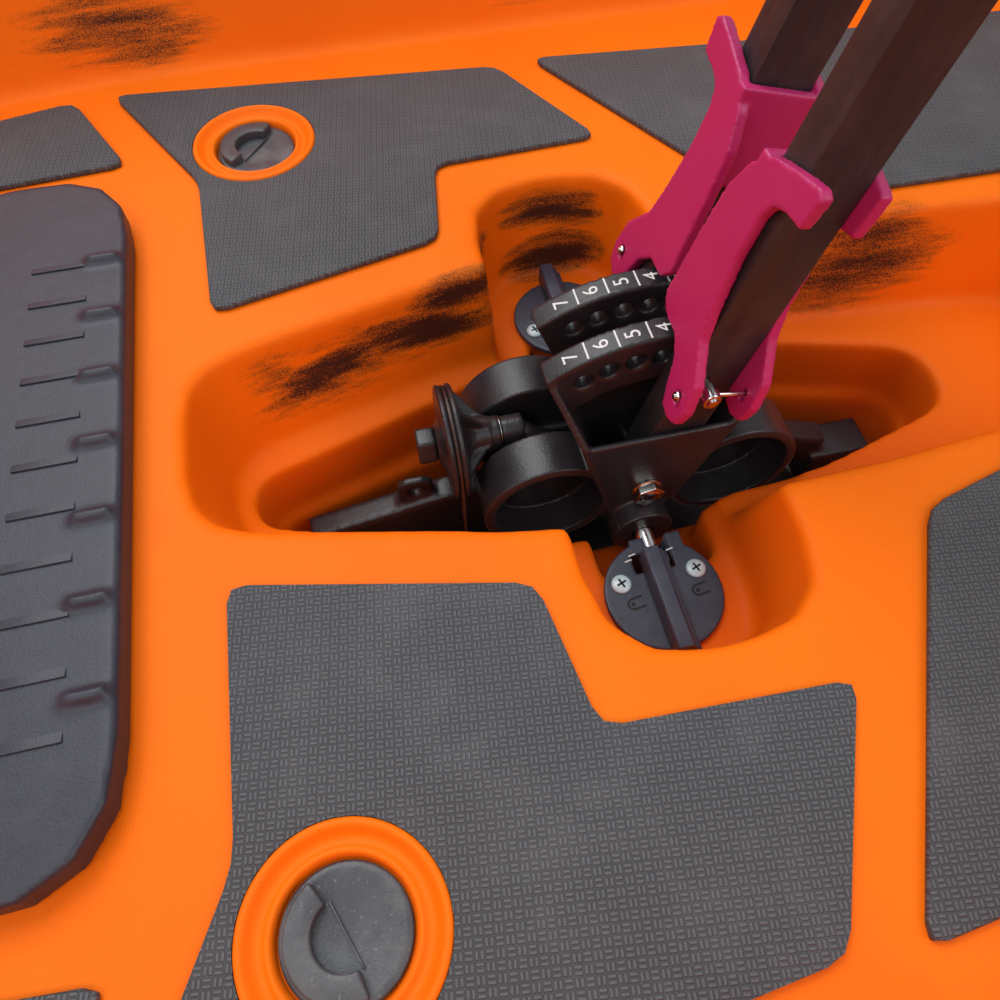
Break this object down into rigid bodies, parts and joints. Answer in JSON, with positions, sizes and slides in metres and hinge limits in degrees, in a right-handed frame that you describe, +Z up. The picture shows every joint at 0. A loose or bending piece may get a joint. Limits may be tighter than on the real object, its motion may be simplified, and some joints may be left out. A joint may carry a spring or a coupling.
{
  "type": "pedal-drive fishing kayak",
  "caption": "Orange sit-on-top fishing kayak with a push-pedal fin drive, foam deck pads, hatches, seat and stern rudder.",
  "frame": {"origin": "on the flat bottom of the hull, amidships on the centreline", "axes": "+X to the bow, +Y to port, +Z up"},
  "size_m": [3.8382, 1.056, 1.2708],
  "materials": {
    "orange_hull": "roto-moulded, softly mottled with black",
    "grey_foam": "embossed closed-cell foam pad",
    "black_plastic": "moulded, satin",
    "black_alloy": "anodised brown-black",
    "magenta_plastic": "smooth",
    "bright_steel": "polished",
    "grey_rubber": "matt",
    "fin_polymer": "moulded",
    "seat_fabric": "woven"
  },
  "bodies": {
    "hull_body": {"hull": "orange_hull", "drive_well": "orange_hull", "deck_pad_port": "grey_foam", "deck_pad_starboard": "grey_foam", "rear_pad_port": "grey_foam", "rear_pad_starboard": "grey_foam", "front_pad_port": "grey_foam", "front_pad_starboard": "grey_foam", "bow_hatch_gasket": "grey_rubber", "bow_hatch_hinge_pin": "bright_steel", "drive_spine": "black_plastic", "drive_shaft": "bright_steel", "idler_bolt": "black_plastic", "idler_cable": "bright_steel", "seat_frame": "black_alloy", "seat_cushion": "seat_fabric", "rudder_bracket": "black_plastic", "rudder_pin": "bright_steel", "steering_base": "black_plastic", "bow_handle": "black_plastic", "stern_handle": "black_plastic", "side_handle_port": "black_plastic", "side_handle_starboard": "black_plastic", "accessory_rail_port": "black_alloy", "accessory_rail_starboard": "black_alloy", "lock_base_port": "black_plastic", "lock_screw_fore_port": "bright_steel", "lock_screw_aft_port": "bright_steel", "lock_base_starboard": "black_plastic", "lock_screw_fore_starboard": "bright_steel", "lock_screw_aft_starboard": "bright_steel"},
    "bow_hatch": {"bow_hatch_lid": "black_plastic"},
    "bow_hatch_latch": {"bow_hatch_knob": "black_plastic"},
    "rear_hatch": {"rear_hatch_lid": "black_plastic"},
    "idler": {"idler_pulley": "black_plastic"},
    "fin_front_body": {"fin_mast_front": "bright_steel", "fin_front": "fin_polymer"},
    "fin_rear_body": {"fin_mast_rear": "bright_steel", "fin_rear": "fin_polymer"},
    "seat_back": {"seat_back_frame": "black_alloy", "seat_back_cushion": "seat_fabric"},
    "rudder_head_body": {"rudder_head": "black_plastic"},
    "rudder_blade_body": {"rudder_blade": "fin_polymer"},
    "steering": {"steering_handle": "black_plastic"},
    "lock_port": {"lock_lever_port": "black_plastic"},
    "plug_port": {"scupper_plug_port": "grey_rubber"},
    "crank_port": {"crank_bracket_port": "black_plastic"},
    "arm_port": {"crank_arm_port": "black_alloy", "arm_pivot_bolt_port": "bright_steel"},
    "lever_port": {"adjust_lever_port": "magenta_plastic"},
    "pin_port": {"pull_pin_port": "bright_steel"},
    "pedal_body_port": {"pedal_port": "black_plastic"},
    "lock_starboard": {"lock_lever_starboard": "black_plastic"},
    "plug_starboard": {"scupper_plug_starboard": "grey_rubber"},
    "crank_starboard": {"crank_bracket_starboard": "black_plastic"},
    "arm_starboard": {"crank_arm_starboard": "black_alloy", "arm_pivot_bolt_starboard": "bright_steel"},
    "lever_starboard": {"adjust_lever_starboard": "magenta_plastic"},
    "pin_starboard": {"pull_pin_starboard": "bright_steel"},
    "pedal_body_starboard": {"pedal_starboard": "black_plastic"}
  },
  "joints": [
    {"name": "crank_swing_port", "type": "hinge", "parent": "hull_body", "child": "crank_port", "pos_m": [0.366, 0, 0.11], "axis": [0, 1, 0], "range_deg": [-22, 22]},
    {"name": "arm_adjust_port", "type": "hinge", "parent": "crank_port", "child": "arm_port", "pos_m": [0.364, 0, 0.138], "axis": [0, 1, 0], "range_deg": [-8.9, 35.6]},
    {"name": "lever_squeeze_port", "type": "hinge", "parent": "arm_port", "child": "lever_port", "pos_m": [0.33418, 0.034, 0.27479], "axis": [0.977, 0, 0.213], "range_deg": [0, 8], "stiffness_Nm_per_rad": 0.6},
    {"name": "pin_pull_port", "type": "slide", "parent": "arm_port", "child": "pin_port", "axis": [0, 1, 0], "range_m": [0, 0.0075]},
    {"name": "pedal_tilt_port", "type": "hinge", "parent": "arm_port", "child": "pedal_body_port", "pos_m": [0.27282, 0.104, 0.55618], "axis": [0, 1, 0], "range_deg": [-35, 35]},
    {"name": "lock_turn_port", "type": "hinge", "parent": "hull_body", "child": "lock_port", "pos_m": [0.3715, 0.105, 0.13], "axis": [0, 0, 1], "range_deg": [0, 28]},
    {"name": "plug_lift_port", "type": "slide", "parent": "hull_body", "child": "plug_port", "axis": [0, 0, 1], "range_m": [0, 0.025]},
    {"name": "crank_swing_starboard", "type": "hinge", "parent": "hull_body", "child": "crank_starboard", "pos_m": [0.366, 0, 0.11], "axis": [0, 1, 0], "range_deg": [-22, 22]},
    {"name": "arm_adjust_starboard", "type": "hinge", "parent": "crank_starboard", "child": "arm_starboard", "pos_m": [0.36293, 0, 0.1379], "axis": [0, 1, 0], "range_deg": [-8.9, 35.6]},
    {"name": "lever_squeeze_starboard", "type": "hinge", "parent": "arm_starboard", "child": "lever_starboard", "pos_m": [0.32787, -0.034, 0.27344], "axis": [-0.9681, 0, -0.2504], "range_deg": [0, 8], "stiffness_Nm_per_rad": 0.6},
    {"name": "pin_pull_starboard", "type": "slide", "parent": "arm_starboard", "child": "pin_starboard", "axis": [0, -1, 0], "range_m": [0, 0.0075]},
    {"name": "pedal_tilt_starboard", "type": "hinge", "parent": "arm_starboard", "child": "pedal_body_starboard", "pos_m": [0.25576, -0.104, 0.55227], "axis": [0, 1, 0], "range_deg": [-35, 35]},
    {"name": "lock_turn_starboard", "type": "hinge", "parent": "hull_body", "child": "lock_starboard", "pos_m": [0.3715, -0.105, 0.13], "axis": [0, 0, -1], "range_deg": [0, 28]},
    {"name": "plug_lift_starboard", "type": "slide", "parent": "hull_body", "child": "plug_starboard", "axis": [0, 0, 1], "range_m": [0, 0.025]},
    {"name": "fin_swing_front", "type": "hinge", "parent": "hull_body", "child": "fin_front_body", "pos_m": [0.492, 0, -0.025], "axis": [1, 0, 0], "range_deg": [-66, 66]},
    {"name": "fin_swing_rear", "type": "hinge", "parent": "hull_body", "child": "fin_rear_body", "pos_m": [0.264, 0, -0.025], "axis": [1, 0, 0], "range_deg": [-66, 66]},
    {"name": "idler_turn", "type": "hinge", "parent": "hull_body", "child": "idler", "pos_m": [0.468, 0, 0.155], "axis": [1, 0, 0], "range_deg": [-33, 33]},
    {"name": "bow_hatch_open", "type": "hinge", "parent": "hull_body", "child": "bow_hatch", "pos_m": [1.158, 0, 0.213], "axis": [0, 1, 0], "range_deg": [0, 80]},
    {"name": "bow_hatch_latch_turn", "type": "hinge", "parent": "bow_hatch", "child": "bow_hatch_latch", "pos_m": [0.721, 0, 0.21], "axis": [0, 0, 1], "range_deg": [0, 90]},
    {"name": "rear_hatch_turn", "type": "hinge", "parent": "hull_body", "child": "rear_hatch", "pos_m": [-1.05, 0, 0.265], "axis": [0, 0, 1], "range_deg": [0, 90]},
    {"name": "seat_recline", "type": "hinge", "parent": "hull_body", "child": "seat_back", "pos_m": [-0.485, 0, 0.372], "axis": [0, 1, 0], "range_deg": [0, 70]},
    {"name": "rudder_steer", "type": "hinge", "parent": "hull_body", "child": "rudder_head_body", "pos_m": [-1.8783, 0, 0.36], "axis": [0, 0, 1], "range_deg": [-50, 50]},
    {"name": "rudder_kick_up", "type": "hinge", "parent": "rudder_head_body", "child": "rudder_blade_body", "pos_m": [-1.9443, 0, 0.3493], "axis": [0, 1, 0], "range_deg": [0, 100]},
    {"name": "steering_turn", "type": "hinge", "parent": "hull_body", "child": "steering", "pos_m": [-0.06, 0.432, 0.42], "axis": [0, 0, 1], "range_deg": [-50, 50]}
  ],
  "couplings": [
    {"joint": "pin_pull_port", "follows": "lever_squeeze_port", "m_per_rad": 0.052},
    {"joint": "pin_pull_starboard", "follows": "lever_squeeze_starboard", "m_per_rad": 0.052},
    {"joint": "crank_swing_starboard", "follows": "crank_swing_port", "ratio": -1},
    {"joint": "fin_swing_front", "follows": "crank_swing_port", "ratio": 3},
    {"joint": "fin_swing_rear", "follows": "crank_swing_port", "ratio": -3},
    {"joint": "idler_turn", "follows": "crank_swing_port", "ratio": 1.5},
    {"joint": "rudder_steer", "follows": "steering_turn", "ratio": 1}
  ]
}
